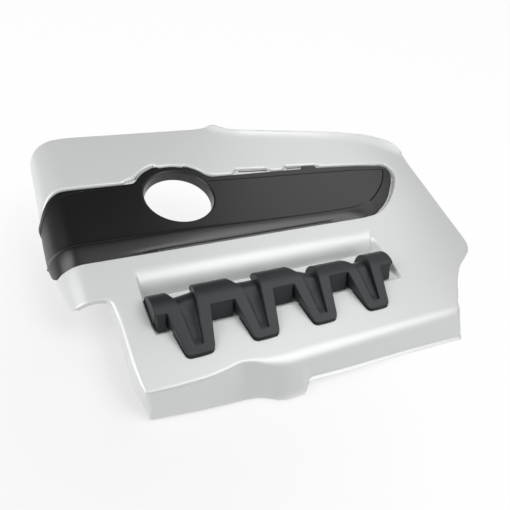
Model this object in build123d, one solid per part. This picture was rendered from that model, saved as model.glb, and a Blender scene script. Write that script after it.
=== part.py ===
"""Engine cover: a silver moulded shell, a black upper trim, a black runner insert and what holds them.

The cover is drawn flat, on its own plate: x runs along the row of runners, y up the plate towards the
back and z out of the plate, with y = 0 at the runner tips. It is then tipped by SLOPE and set on the floor.
"""
import math
import os

from build123d import *

os.makedirs("parts", exist_ok=True)

# Shell
SLOPE = 8.0
FRONT_HEIGHT = 40.3
WALL = 3.0
BACK_Y = 371.5
BACK_SKIRT = 16.0
ROLL_X = -262.0
ROLL_R = 30.0
LEFT_DRAFT = 12.0
LEFT_SKIRT = 28.0
FALL_X = 158.0
FALL_R = 890.0
RIGHT_X = 312.0
RIGHT_SKIRT = 30.0
SHOULDER_Y = 100.0
SIDE_Y = 256.0
NOSE_X = 181.0
SKIRT_STEP_X = 200.0
REAR_FALL = 43.0
LEDGE_X = -12.0
STRIP_X = -248.0
STRIP_ROLL = 9.0
STRIP_SKIRT = 12.0
TAB_Y = 93.0
TAB_DROP = 5.0
FRONT_LEFT_Y = -29.4
FRONT_RIGHT_Y = -35.5
FRONT_LOW_Y = -69.0
FRONT_ROLL = 11.0
FOOT_DROP = 33.0
FOOT_RIGHT_X = -62.0
FLANGE_DROP = 24.0
LEDGE_RISE = 6.0
RIBS_X = (-250.0, -110.0, 60.0, 150.0)
RIB_T = 2.5
RIB_H = 9.0

# Upper trim
TRIM_FRONT_Y = 147.5
TRIM_BACK_Y = 269.0
TRIM_RIGHT_X = 247.0
TRIM_RIGHT_Y = 249.0
TRIM_SLANT = 112.0
TRIM_BOW = 5.5
TRIM_SINK = 1.5
TRIM_T = 2.5
TRIM_GAP = 0.5
TRIM_ROLL_R = 36.0
TRIM_DRAFT = 10.0
TRIM_SKIRT_BACK = 53.0
TRIM_SKIRT_FRONT = 22.0
BAND_WIDTH = 20.0
BAND_RISE = 3.0
HOLE_X = -119.0
HOLE_Y = 237.0
HOLE_R = 50.0
RING_R = 55.5
COLLAR_T = 2.5
COLLAR_DEPTH = 16.0
ARCH_R = 57.5
SLOT_R = 62.5
SLOTS_DEG = ((28.0, 48.0), (119.0, 149.0))
NOTCH_DEPTH = 5.0
NOTCH_LENGTH = 52.0
NOTCH_X = (4.0, 89.0)
TAB_LENGTH = 22.0

# Runner insert
PITCH = 80.0
RUNNERS = 4
ROW_X = -52.0
RECESS_LEFT = -213.0
RECESS_RIGHT = 128.0
RECESS_FRONT = 36.0
RECESS_BACK = 128.0
RECESS_STEP = 2.5
RECESS_ROLL = 30.0
RECESS_TURN = 72.0
INSERT_LEFT = -210.0
INSERT_RIGHT = 114.0
INSERT_T = 3.0
INSERT_GAP = 0.5
TIP_T = 3.0
RUNNER_RISE = 17.2
CREST_START = 50.0
CREST_R = 28.0
FACE_Y = 38.5
FACE_LEAN = 29.0
TIP_WIDTH = 31.0
RUNNER_FLARE = 0.175
CHANNEL_END = 8.5
CHANNEL_TIP_WIDTH = 12.0
CHANNEL_FLARE = 0.128
CHANNEL_DEPTH = 11.0
CHANNEL_LIP = 2.5

# Stud posts, sockets, push nuts and absorber pads
POST_LEFT_X = -150.0
POST_RIGHT_X = 62.0
POST_FRONT_Y = 4.0
POST_REAR_LEFT = (57.0, 53.5)
POST_REAR_RIGHT = (80.0, 79.5)
FRONT_SEAT = 9.0
REAR_SEAT = 0.0
POST_R = 15.5
POST_DRAFT = 2.0
POST_CORE_R = 7.5
POST_CAP = 8.0
SOCKET_R = 11.0
SOCKET_DEPTH = 12.0
SOCKET_FLANGE_R = 14.5
SOCKET_FLANGE_T = 2.5
SOCKET_GAP = 0.1
STUD_R = 5.0
STUD_DEPTH = 9.0
PEG_R = 2.5
PEG_GAP = 0.3
PEG_REACH = 5.0
NUT_R = 7.0
NUT_T = 1.2
NUT_GAP = 0.05
TRIM_PEGS = ((-240.0, 165.0), (-240.0, 250.0), (-45.0, 163.0), (-20.0, 253.0), (120.0, 163.0), (150.0, 238.0))
INSERT_PEG_Y = 66.0
PAD_T = 14.0
PAD_CENTRE = (-15.0, 138.0, 175.0, 240.0)
PAD_FRONT = (-110.0, 25.0, -18.0, 26.0)
PAD_REAR_X = (-48.0, 48.0)

# Lengths that only have to reach past the cover
FAR = 120.0
BIG = 700.0

recess_turn = math.radians(RECESS_TURN)
deep_y = RECESS_BACK - RECESS_ROLL * math.sin(recess_turn)
deep_z = RECESS_ROLL * math.cos(recess_turn) - RECESS_ROLL
floor_fall = math.atan2(-RECESS_STEP - deep_z, deep_y - RECESS_FRONT)
sink = TRIM_SINK + TRIM_T
place = Pos(0, 0, FRONT_HEIGHT) * Rot(SLOPE, 0, 0)
nodes = {}


def upright(face, low, high):
    """Prism over a plan face, from z = low to z = high."""
    return extrude(Pos(0, 0, low) * face, high - low)


def along_y(profile, start, end):
    """Prism of an x-z profile, from y = start to y = end."""
    return Pos(0, end, 0) * extrude(Plane.XZ * profile, end - start)


def along_x(profile, start, end):
    """Prism of a y-z profile, from x = start to x = end."""
    return Pos(start, 0, 0) * extrude(Plane.YZ * profile, end - start)


def polygon(*points):
    return make_face(Polyline(*points, close=True))


def block(x0, x1, y0, y1, z0, z1):
    return Pos((x0 + x1) / 2, (y0 + y1) / 2, (z0 + z1) / 2) * Box(x1 - x0, y1 - y0, z1 - z0)


def pin(r, low, high):
    """Round bar on the z axis."""
    return Pos(0, 0, (low + high) / 2) * Cylinder(r, high - low)


def on_circle(centre, r, turn):
    """Point at an angle from straight up, turning to the left."""
    return (centre[0] - r * math.sin(turn), centre[1] + r * math.cos(turn))


def floor_z(y):
    """Height of the recess floor."""
    return -RECESS_STEP - (y - RECESS_FRONT) * math.tan(floor_fall)


def crown(inset, roll_r=ROLL_R, draft=LEFT_DRAFT, top=0.0):
    """All that lies under the rolled left wall, the flat plate and the falling right side."""
    turn = math.radians(90 - draft)
    centre = (ROLL_X, top - roll_r)
    end = on_circle(centre, roll_r - inset, turn)
    foot = (end[0] - (FAR + end[1]) * math.tan(math.radians(draft)), -FAR)
    left = (ROLL_X, top - inset)
    right = (FALL_X, top - inset)
    fall_centre = (FALL_X, top - FALL_R)
    sweep = -math.asin((RIGHT_X + 20 - FALL_X) / (FALL_R - inset))
    far = on_circle(fall_centre, FALL_R - inset, sweep)
    outline = [
        Line(foot, end),
        ThreePointArc(end, on_circle(centre, roll_r - inset, turn / 2), left),
        Line(left, right),
        ThreePointArc(right, on_circle(fall_centre, FALL_R - inset, sweep / 2), far),
        Polyline(far, (far[0], -FAR), foot),
    ]
    return along_y(make_face(outline), -BIG / 2, BIG)


def plan(inset=0.0):
    """Plan outline of the shell; the front is left long, because the front wall cuts it."""

    def at(x, y, inward_x, inward_y):
        return (x + inset * inward_x, y + inset * inward_y)

    nose = at(NOSE_X - 9, FRONT_LOW_Y - 81, -1, 0)
    corner = at(NOSE_X, FRONT_RIGHT_Y - 2.5, -1, 0.3)
    dip = at(NOSE_X + 36, FRONT_RIGHT_Y + 45.5, -0.8, 0.6)
    hip = at(RIGHT_X - 50, SHOULDER_Y - 56, -0.6, 0.8)
    elbow = at(RIGHT_X - 23, SHOULDER_Y - 34, -0.8, 0.6)
    shoulder = at(RIGHT_X - 15, SHOULDER_Y, -1, 0)
    side = at(RIGHT_X - 5, SIDE_Y, -1, 0)
    rear_side = at(RIGHT_X - 2, SIDE_Y + 34, -0.9, -0.4)
    rear_turn = at(RIGHT_X - 34, BACK_Y - REAR_FALL - 11.5, -0.4, -0.9)
    rear_right = at(RIGHT_X - 72, BACK_Y - REAR_FALL, 0, -1)
    rear_step = at(LEDGE_X + 32, BACK_Y - 15.5, 0, -1)
    rear_left = at(LEDGE_X - 35, BACK_Y, 0, -1)
    back_end = at(-BIG / 2, BACK_Y, 0, -1)
    tab_end = at(-BIG / 2, TAB_Y, 0, 1)
    strip_back = at(STRIP_X, TAB_Y, 1, 1)
    strip_front = at(STRIP_X, FRONT_LEFT_Y + 11.4, 1, 0.1)
    strip_low = at(STRIP_X + 12, FRONT_LEFT_Y - 25.6, 1, 0)
    strip_end = at(STRIP_X + 12, FRONT_LOW_Y - 81, 1, 0)
    concave = [corner, dip, hip, elbow, shoulder]
    rear_corner = [side, rear_side, rear_turn, rear_right]
    bump_side = at(LEDGE_X + 4, BACK_Y - 7.5, -0.3, -0.95)
    bump_top = at(LEDGE_X - 12, BACK_Y + 2.5, 0, -1)
    bump = [rear_step, bump_side, bump_top, rear_left]
    outline = [
        Line(nose, corner),
        Spline(*concave, tangents=[(0.5, 0.8), (0.05, 1)]),
        Line(shoulder, side),
        Spline(*rear_corner, tangents=[(0.06, 1), (-1, 0.12)]),
        Line(rear_right, rear_step),
        Spline(*bump, tangents=[(-1, 0.12), (-1, 0)]),
        Polyline(rear_left, back_end, tab_end, strip_back, strip_front),
        Polyline(strip_front, strip_low, strip_end, nose),
    ]
    return make_face(outline)


def front(shift):
    """What lies in front of the front wall: upright at the left, an S step, a long slope at the right."""
    top = [(-262, FRONT_LEFT_Y), (-172, -29), (-134, -23), (-118, -25.5), (-106, -33), (-92, FRONT_RIGHT_Y)]
    low = [(-262, -40), (-185, -47), (-140, -51), (-122, -52), (-100, -62), (-84, FRONT_LOW_Y)]
    top.append((220, FRONT_RIGHT_Y))
    low.append((228, FRONT_LOW_Y))

    def section(z):
        k = z / FOOT_DROP
        p = [(a[0] + (a[0] - b[0]) * k, a[1] + (a[1] - b[1]) * k + shift) for a, b in zip(top, low)]
        edge = [
            Line(p[0], p[1]),
            Spline(*p[1:6], tangents=[(1, 0.02), (1, 0)]),
            Line(p[5], p[6]),
            Polyline(p[6], (p[6][0] + 100, -300), (p[0][0] - 100, -300), p[0]),
        ]
        return Pos(0, 0, z) * make_face(edge)

    return loft([section(30), section(-80)], ruled=True)


def front_roll(inset):
    """Sliver taken off the long front edge, so that the plate rolls over into the front slope."""
    fall = math.atan2(FOOT_DROP, FRONT_RIGHT_Y - FRONT_LOW_Y)
    back = FRONT_RIGHT_Y + FRONT_ROLL * math.tan(fall / 2)
    centre = (back, -FRONT_ROLL)
    start = (back, -inset)
    half = on_circle(centre, FRONT_ROLL - inset, fall / 2)
    end = on_circle(centre, FRONT_ROLL - inset, fall)
    outline = [
        ThreePointArc(start, half, end),
        Polyline(end, (end[0] - 20, end[1]), (end[0] - 20, 20), (back, 20), start),
    ]
    return along_x(make_face(outline), -88, 230)


def strip_roll(inset):
    """Sliver taken off the left edge of the front strip."""
    centre = (STRIP_X + STRIP_ROLL, -STRIP_ROLL)
    start = (centre[0], -inset)
    half = on_circle(centre, STRIP_ROLL - inset, math.pi / 4)
    end = on_circle(centre, STRIP_ROLL - inset, math.pi / 2)
    outline = [
        ThreePointArc(start, half, end),
        Polyline(end, (end[0] - 8, end[1]), (end[0] - 8, 20), (start[0], 20), start),
    ]
    return along_y(make_face(outline), -120, TAB_Y - 1)


def ledge(inset):
    """Raised rim along the right half of the back edge, dying out into the falling side."""

    def section(x, y, rise, base):
        top = base + rise
        ramp = [(y - 6, base - 20), (y - 6, base), (y + 7, top), (y + 60, top), (y + 60, base - 20)]
        return Pos(x, 0, 0) * (Plane.YZ * polygon(*ramp))

    end_x = RIGHT_X - 22
    end_z = math.sqrt(FALL_R**2 - (end_x - FALL_X) ** 2) - FALL_R
    start = section(LEDGE_X - 22, BACK_Y - 19.5, 0.3, -inset)
    left = section(LEDGE_X, BACK_Y - 24.5, LEDGE_RISE, -inset)
    right = section(end_x, BACK_Y - REAR_FALL - 31.5, 0.5, end_z - inset)
    return loft([start, left, right], ruled=True)


def recess(grow):
    """Wedge cut for the insert: shallow at the front, with a rolled back wall."""
    centre = (RECESS_BACK, -RECESS_ROLL)
    r = RECESS_ROLL - grow
    foot = on_circle(centre, r, recess_turn)
    front_y = RECESS_FRONT - grow
    front_z = -RECESS_STEP - grow / math.cos(floor_fall) + grow * math.tan(floor_fall)
    deep = (deep_y - grow * math.sin(floor_fall), deep_z - grow * math.cos(floor_fall))
    outline = [
        Polyline((RECESS_BACK, 40), (front_y, 40), (front_y, front_z), deep),
        ThreePointArc(foot, on_circle(centre, r, recess_turn / 2), (RECESS_BACK, -grow)),
        Line((RECESS_BACK, -grow), (RECESS_BACK, 40)),
    ]
    if grow:
        outline.append(Line(deep, foot))
    return along_x(make_face(outline), RECESS_LEFT - grow, RECESS_RIGHT + grow)


def trim_plan(grow=0.0, ring=RING_R):
    """Plan of the trim: a band with a slanting right end and a ring round the filler opening."""
    low = TRIM_FRONT_Y - grow
    high = TRIM_BACK_Y + grow
    end = TRIM_RIGHT_X + grow
    tip = (end - 4, TRIM_RIGHT_Y + grow)
    bow = ((HOLE_X + TRIM_RIGHT_X) / 2 - 34, TRIM_BACK_Y - TRIM_BOW + grow)
    foot = (TRIM_RIGHT_X - TRIM_SLANT, low)
    knee = (TRIM_RIGHT_X - 42 + 0.7 * grow, TRIM_FRONT_Y + 33.5 - 0.7 * grow)
    top = (end, TRIM_RIGHT_Y - 13)
    start = (HOLE_X - 71, high)
    outline = [
        Polyline(start, (-BIG / 2, high), (-BIG / 2, low), foot),
        Spline(foot, knee, top, tangents=[(1, 0), (0.25, 1)]),
        Spline(top, tip, tangents=[(0, 1), (-1, 0.05)]),
        ThreePointArc(tip, bow, start),
    ]
    return make_face(outline) + Pos(HOLE_X, HOLE_Y) * Circle(ring)


def crescent(low_deg, high_deg, r0, r1):
    """Part of a ring round the filler opening."""
    a, b = math.radians(low_deg - 90), math.radians(high_deg - 90)
    centre = (HOLE_X, HOLE_Y)
    corners = [on_circle(centre, r, turn) for r, turn in ((r0, a), (r1, a), (r1, b), (r0, b))]
    outline = [
        Line(corners[0], corners[1]),
        ThreePointArc(corners[1], on_circle(centre, r1, (a + b) / 2), corners[2]),
        Line(corners[2], corners[3]),
        ThreePointArc(corners[3], on_circle(centre, r0, (a + b) / 2), corners[0]),
    ]
    return make_face(outline)


def notch(x, length, depth):
    """Cut-out in the back rim of the trim opening."""
    y = TRIM_BACK_Y - TRIM_BOW - (x - HOLE_X - 59) * 0.035
    return Pos(x, y) * Rot(0, 0, -2.3) * Pos(0, depth / 2 - 6) * RectangleRounded(length, depth + 12, 2)


def trim_opening(grow):
    """Plan of the sunk bed that the trim lies in, with its notches and slots."""
    face = trim_plan(TRIM_GAP + grow, ARCH_R + grow)
    for x in NOTCH_X:
        face += notch(x, NOTCH_LENGTH + 2 * grow, NOTCH_DEPTH + grow)
    for low_deg, high_deg in SLOTS_DEG:
        face += crescent(low_deg - grow, high_deg + grow, HOLE_R, SLOT_R + grow)
    return face


# Shell: an outer body less an inner one, both with the same recess and trim bed
outer = crown(0) & upright(plan(), -80, 40)
outer -= front(0)
outer -= front_roll(0)
outer -= strip_roll(0)
outer += ledge(0) & upright(plan(), -30, 40)
outer -= recess(0)
outer -= upright(trim_opening(0), -80, 40) - crown(0, top=-sink)
inner = crown(WALL) & upright(plan(WALL), -90, 40)
inner -= front(WALL * 1.4)
inner -= front_roll(WALL)
inner -= strip_roll(WALL)
inner += ledge(WALL) & upright(plan(WALL), -30, 40)
inner -= recess(WALL)
inner -= upright(trim_opening(WALL), -85, 40) - crown(WALL, top=-sink)
shell = outer - inner

# Stiffening ribs under the rear deck
for x in RIBS_X:
    rib = block(x - RIB_T / 2, x + RIB_T / 2, TRIM_BACK_Y + 13, BACK_Y - 41.5, -WALL - RIB_H, 0)
    shell += rib & inner

# Lower edge of the skirt, side by side round the shell
tab_low = [(TAB_Y - 5, -TAB_DROP), (TRIM_FRONT_Y, -TAB_DROP - 20), (TRIM_FRONT_Y, -100), (TAB_Y - 5, -100)]
strip_low = [(TAB_Y, -STRIP_SKIRT), (-12, -STRIP_SKIRT), (-34, -37), (-34, -100), (TAB_Y, -100)]
low = -BIG / 4
shell -= block(ROLL_X, SKIRT_STEP_X, TRIM_BACK_Y + 11, BIG, low, -BACK_SKIRT)
shell -= block(SKIRT_STEP_X, BIG, FRONT_RIGHT_Y + 20.5, BIG, low, -RIGHT_SKIRT)
shell -= block(FOOT_RIGHT_X, BIG, -BIG, FRONT_RIGHT_Y + 20.5, low, -FLANGE_DROP)
shell -= block(SKIRT_STEP_X - 50, BIG, -BIG, SHOULDER_Y - 40, low, -RIGHT_SKIRT)
shell -= block(-BIG, ROLL_X, TRIM_BACK_Y, BIG, low, -LEFT_SKIRT)
shell -= block(-BIG, ROLL_X, TRIM_FRONT_Y, TRIM_BACK_Y, low, -LEFT_SKIRT + 8)
shell -= along_x(polygon(*tab_low), -BIG, STRIP_X - 2)
shell -= along_x(polygon(*strip_low), STRIP_X - 2, STRIP_X + 30)

# Filler opening, slots and notches through the trim bed
shell -= Pos(HOLE_X, HOLE_Y) * pin(RING_R - 1, -60, 30)
for low_deg, high_deg in SLOTS_DEG:
    shell -= upright(crescent(low_deg + 2, high_deg - 2, HOLE_R, SLOT_R - 1), -15, 0)
trim_edge = trim_plan(TRIM_GAP)
half_notch = (NOTCH_X[1] - TAB_LENGTH / 2 - 1, NOTCH_LENGTH - TAB_LENGTH - 6)
for x, length in ((NOTCH_X[0], NOTCH_LENGTH - 4), half_notch):
    shell -= upright(notch(x, length, NOTCH_DEPTH - 1) - trim_edge, -15, 0)

# Upper trim: a thin skin over the bed, wrapped round the left side, with a ridge along its front
trim_crown = crown(0, TRIM_ROLL_R, TRIM_DRAFT, -TRIM_SINK)
trim = trim_crown - crown(0, TRIM_ROLL_R - TRIM_T, TRIM_DRAFT, -sink)
ridge_y = TRIM_FRONT_Y + BAND_WIDTH
ridge_z = BAND_RISE - TRIM_SINK
band = polygon(
    (TRIM_FRONT_Y, -sink),
    (TRIM_FRONT_Y, 0),
    (ridge_y, ridge_z),
    (ridge_y + 3, -TRIM_SINK),
    (ridge_y + 3, -sink),
)
trim += along_x(band, ROLL_X + 12, FALL_X)
trim &= upright(trim_plan(), -80, 40)
tab_x = NOTCH_X[1] + TAB_LENGTH / 2 + 1
trim += upright(notch(tab_x, TAB_LENGTH, NOTCH_DEPTH - 1), -sink, -TRIM_SINK)
trim += Pos(HOLE_X, HOLE_Y) * pin(HOLE_R + COLLAR_T, -COLLAR_DEPTH, -TRIM_SINK)
trim -= Pos(HOLE_X, HOLE_Y) * pin(HOLE_R, -60, 30)
trim_low = [(TRIM_FRONT_Y - 1, -TRIM_SKIRT_FRONT), (TRIM_BACK_Y + 1, -TRIM_SKIRT_BACK)]
trim_low += [(TRIM_BACK_Y + 1, low), (TRIM_FRONT_Y - 1, low)]
trim -= along_x(polygon(*trim_low), -BIG, ROLL_X)

# Runner insert: a rolled hump with four forward runners, each with a channel down its middle
rise = math.radians(RUNNER_RISE)
crest_y = CREST_START + CREST_R * math.sin(rise)
crest_z = TIP_T + CREST_START * math.tan(rise) - CREST_R * math.cos(rise)
crest = (crest_y, crest_z)
side = -math.pi / 2
crest_mid = -0.6
seat_y = RECESS_FRONT + INSERT_GAP
hump_back = crest_y + CREST_R
hump_start = on_circle(crest, CREST_R, rise)
hump_end = on_circle(crest, CREST_R, side)
hump = [
    Polyline((seat_y, 0), (0, 0), (0, TIP_T), hump_start),
    ThreePointArc(hump_start, on_circle(crest, CREST_R, crest_mid), hump_end),
    Polyline(hump_end, (hump_back, floor_z(hump_back)), (seat_y, floor_z(seat_y)), (seat_y, 0)),
]
insert = along_x(make_face(hump), INSERT_LEFT, INSERT_RIGHT)
lean = math.tan(math.radians(FACE_LEAN))
face_front = along_x(polygon((-5, -1), (FACE_Y - lean, -1), (FACE_Y + 40 * lean, 40), (-5, 40)), -BIG, BIG)
tips = [ROW_X + (i - (RUNNERS - 1) / 2) * PITCH for i in range(RUNNERS)]


def wedge(x, width, flare, y0, y1):
    """Plan of a strip that widens towards the back."""
    near, far = width / 2, width / 2 + flare * (y1 - y0)
    return polygon((x - near, y0), (x + near, y0), (x + far, y1), (x - far, y1))


runners = [upright(wedge(x, TIP_WIDTH, RUNNER_FLARE, 0, 70), -10, 50) for x in tips]
for runner in runners:
    face_front -= runner
insert -= face_front
bore_r = CREST_R - CHANNEL_DEPTH
lip_z = TIP_T + CHANNEL_END * math.tan(rise) - CHANNEL_LIP
channel_start = on_circle(crest, bore_r, rise)
channel_end = on_circle(crest, bore_r, side)
channel_back = hump_back + 9
channel = [
    Polyline((channel_back, crest_z), (channel_back, 60), (CHANNEL_END, 60)),
    Polyline((CHANNEL_END, 60), (CHANNEL_END, lip_z), channel_start),
    ThreePointArc(channel_start, on_circle(crest, bore_r, crest_mid), channel_end),
    Line(channel_end, (channel_back, crest_z)),
]
channel_bar = along_x(make_face(channel), -BIG, BIG)
for x in tips:
    strip = wedge(x, CHANNEL_TIP_WIDTH, CHANNEL_FLARE, CHANNEL_END, channel_back)
    insert -= channel_bar & upright(strip, -40, 60)

# The hump is hollow between the channels
core_r = CREST_R - INSERT_T
core_turn = math.radians(18)
core_top = on_circle(crest, core_r, core_turn)
core_end = on_circle(crest, core_r, side)
core_low = -40
core = [
    ThreePointArc(core_top, on_circle(crest, core_r, crest_mid), core_end),
    Polyline(core_end, (core_end[0], core_low), (FACE_Y + 4, core_low), (FACE_Y + 4, 0), core_top),
]
core_bar = along_x(make_face(core), INSERT_LEFT + INSERT_T, INSERT_RIGHT - INSERT_T)
for x in tips:
    strip = wedge(x, CHANNEL_TIP_WIDTH + 2 * INSERT_T, CHANNEL_FLARE, CHANNEL_END, channel_back)
    core_bar -= upright(strip, -60, 60)
insert -= core_bar

# Pegs of the trim and the insert, their holes in the shell and the push nuts on them
pegs = [("trim", Pos(x, y, -sink)) for x, y in TRIM_PEGS]
tilt = Rot(-math.degrees(floor_fall), 0, 0)
pegs += [("insert", Pos(x, INSERT_PEG_Y, floor_z(INSERT_PEG_Y)) * tilt) for x in tips]
count = {"trim": 0, "insert": 0}
for owner, seat in pegs:
    shell -= seat * pin(PEG_R + PEG_GAP, -WALL - 2, 2)
    bar = seat * pin(PEG_R, -WALL - PEG_REACH, 0.5)
    if owner == "trim":
        trim += bar
    else:
        insert += bar
    count[owner] += 1
    nut = pin(NUT_R, -WALL - NUT_T, -WALL) - pin(PEG_R + NUT_GAP, -WALL - NUT_T, -WALL)
    nodes[f"{owner}_push_nut_{count[owner]}"] = place * seat * nut

# Foam absorber pads under the trim bed, the front and the rear deck
pad_rear = (*PAD_REAR_X, TRIM_BACK_Y + 16, BACK_Y - 26.5)
pads = [("centre", PAD_CENTRE, -sink - WALL), ("front", PAD_FRONT, -WALL), ("rear", pad_rear, -WALL)]
for name, box, top in pads:
    pad = block(*box, top - PAD_T, top)
    nodes[f"absorber_pad_{name}"] = place * fillet(pad.edges().filter_by(Axis.Z), 6)

shell = place * shell
shell -= block(-BIG, BIG, -BIG, BIG, -100, 0)
under = place * crown(WALL)
posts = [
    ("front_left", POST_LEFT_X, POST_FRONT_Y, FRONT_SEAT),
    ("front_right", POST_RIGHT_X, POST_FRONT_Y, FRONT_SEAT),
    ("rear_left", ROLL_X + POST_REAR_LEFT[0], BACK_Y - POST_REAR_LEFT[1], REAR_SEAT),
    ("rear_right", RIGHT_X - POST_REAR_RIGHT[0], BACK_Y - POST_REAR_RIGHT[1], REAR_SEAT),
]
for name, x, y, seat in posts:
    foot = seat + SOCKET_FLANGE_T
    spot = Pos(x, y * math.cos(math.radians(SLOPE)), 0)
    deck = FRONT_HEIGHT + y * math.sin(math.radians(SLOPE))
    height = deck + POST_CAP - foot
    wide = POST_R + height * math.tan(math.radians(POST_DRAFT))
    post = Pos(0, 0, foot + height / 2) * Cone(POST_R, wide, height)
    post -= pin(SOCKET_R + SOCKET_GAP, foot, foot + SOCKET_DEPTH)
    post -= pin(POST_CORE_R, foot, deck - POST_CAP - WALL)
    nodes[f"stud_post_{name}"] = (spot * post) & under
    socket = pin(SOCKET_FLANGE_R, seat, foot) + pin(SOCKET_R, foot, foot + SOCKET_DEPTH - SOCKET_GAP)
    socket -= pin(STUD_R, seat, seat + STUD_DEPTH)
    nodes[f"stud_socket_{name}"] = spot * socket
nodes["cover_shell"] = shell
nodes["upper_trim"] = place * trim
nodes["runner_insert"] = place * insert

# The origin is under the middle of the whole cover, on the floor
box = Compound(children=[Part() + node for node in nodes.values()]).bounding_box()
centre = Pos(-(box.min.X + box.max.X) / 2, -(box.min.Y + box.max.Y) / 2, -box.min.Z)
for name, node in nodes.items():
    export_step(centre * node, f"parts/{name}.step")
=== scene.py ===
import math

import bpy
import numpy as np
from mathutils import Matrix, Vector
from mathutils.geometry import delaunay_2d_cdt


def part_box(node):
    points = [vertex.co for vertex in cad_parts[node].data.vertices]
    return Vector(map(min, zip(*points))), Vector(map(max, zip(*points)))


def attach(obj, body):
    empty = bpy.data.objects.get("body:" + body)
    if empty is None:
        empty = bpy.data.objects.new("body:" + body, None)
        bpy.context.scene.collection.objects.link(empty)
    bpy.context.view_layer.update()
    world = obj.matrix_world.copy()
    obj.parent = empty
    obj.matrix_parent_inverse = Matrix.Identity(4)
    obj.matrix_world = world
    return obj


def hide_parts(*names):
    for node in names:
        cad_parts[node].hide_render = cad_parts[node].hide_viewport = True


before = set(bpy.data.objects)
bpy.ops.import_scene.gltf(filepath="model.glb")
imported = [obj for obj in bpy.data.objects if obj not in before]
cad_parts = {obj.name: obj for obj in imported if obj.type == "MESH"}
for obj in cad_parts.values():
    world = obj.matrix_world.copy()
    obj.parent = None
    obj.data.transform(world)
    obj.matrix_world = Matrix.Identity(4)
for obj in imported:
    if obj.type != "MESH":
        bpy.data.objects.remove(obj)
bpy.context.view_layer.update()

# The cover shell is one thin plastic moulding in satin silver paint. Its plate is tipped by a few degrees,
# rolls over at the left and the front and falls away at the right. It has a wedge-shaped recess and narrow
# gaps for the runner insert and a sunk bed for the upper trim. It is drawn flat in millimetres, then seated.
SLOPE = math.radians(8.0)
FRONT_HEIGHT = 40.3
STUD_X, STUD_Y = -150.0, 4.0
stud_low, stud_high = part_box("stud_socket_front_left")
SHIFT_X = 500.0 * (stud_low.x + stud_high.x) - STUD_X
SHIFT_Y = 500.0 * (stud_low.y + stud_high.y) - STUD_Y * math.cos(SLOPE)
SHELL_WALL = 3.0
SHELL_ROLL = (-262.0, ((95, 141, 232, 262, 350), (31, 34, 37, 33.5, 30.2)), math.radians(78.0), 0.0)
FALL_X, FALL_R = 158.0, 890.0
RECESS_X, RECESS_Y = (-213.0, 128.0), (36.0, 128.0)
RECESS_ROLL, RECESS_TURN, RECESS_STEP = 36.0, math.radians(63.0), 2.5
HOLE_X, HOLE_Y = -119.0, 237.0
BED_SINK, END_SINK, TROUGH_SINK = 4.0, 3.0, 3.4


def seat(points):
    """Plate millimetres to metres in the cover's own frame."""
    p = np.asarray(points, float)
    y = p[:, 1] * math.cos(SLOPE) - p[:, 2] * math.sin(SLOPE) + SHIFT_Y
    z = p[:, 1] * math.sin(SLOPE) + p[:, 2] * math.cos(SLOPE) + FRONT_HEIGHT
    return np.stack([p[:, 0] + SHIFT_X, y, z], 1) / 1000.0


def ease(t):
    t = np.clip(t, 0.0, 1.0)
    return t * t * (3.0 - 2.0 * t)


def bend(points, step):
    """Smooth open line through some points."""
    p = np.asarray(points, float)
    if len(p) == 2:
        count = max(1, round(float(np.linalg.norm(p[1] - p[0])) / step))
        return p[0] + (p[1] - p[0]) * (np.arange(count + 1) / count)[:, None]
    chord = np.linalg.norm(np.diff(p, axis=0), axis=1)
    slope = np.diff(p, axis=0) / chord[:, None]
    tangent = np.concatenate([slope[:1], np.zeros((len(p) - 2, 2)), slope[-1:]])
    weight = (chord[:-1] / (chord[:-1] + chord[1:]))[:, None]
    tangent[1:-1] = slope[:-1] * (1.0 - weight) + slope[1:] * weight
    line = [p[:1]]
    for i, length in enumerate(chord):
        count = max(1, round(length / step))
        t = (np.arange(1, count + 1) / count)[:, None]
        rise = t * t * (3.0 - 2.0 * t)
        start = (t**3 - 2.0 * t * t + t) * length
        end = (t**3 - t * t) * length
        line.append(p[i] * (1.0 - rise) + p[i + 1] * rise + tangent[i] * start + tangent[i + 1] * end)
    return np.concatenate(line)


def trace(runs):
    """Closed outline from named runs, each going on from the last; gives points and their runs' names."""
    points, names = [], []
    last = runs[-1][2][-1]
    for name, step, corners in runs:
        line = bend([last, *corners], step)[:-1]
        last = corners[-1]
        points.append(line)
        names += [name] * len(line)
    return np.concatenate(points), np.array(names)


def round_line(centre, radius, start, end, step=3.0):
    """Points of an arc, in degrees."""
    turn = math.radians(end - start)
    count = max(2, round(abs(turn) * radius / step))
    angle = math.radians(start) + turn * np.arange(count + 1) / count
    return np.stack([centre[0] + radius * np.cos(angle), centre[1] + radius * np.sin(angle)], 1)


def grid_of(xs, ys):
    """Points of a flat grid."""
    return np.stack(np.meshgrid(xs, ys), 2).reshape(-1, 2)


def at_height(flat, z):
    """Flat points set at a height."""
    return np.concatenate([flat, np.full((len(flat), 1), z)], 1)


def within(points, outlines):
    """Which points lie inside the outlines."""
    x, y = points[:, 0], points[:, 1]
    odd = np.zeros(len(points), bool)
    for outline in outlines:
        ahead = np.roll(outline, -1, axis=0)
        for (ax, ay), (bx, by) in zip(outline, ahead):
            if ay == by:
                continue
            crosses = ((ay > y) != (by > y)) & (x < (bx - ax) * (y - ay) / (by - ay) + ax)
            odd ^= crosses
    return odd


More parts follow.
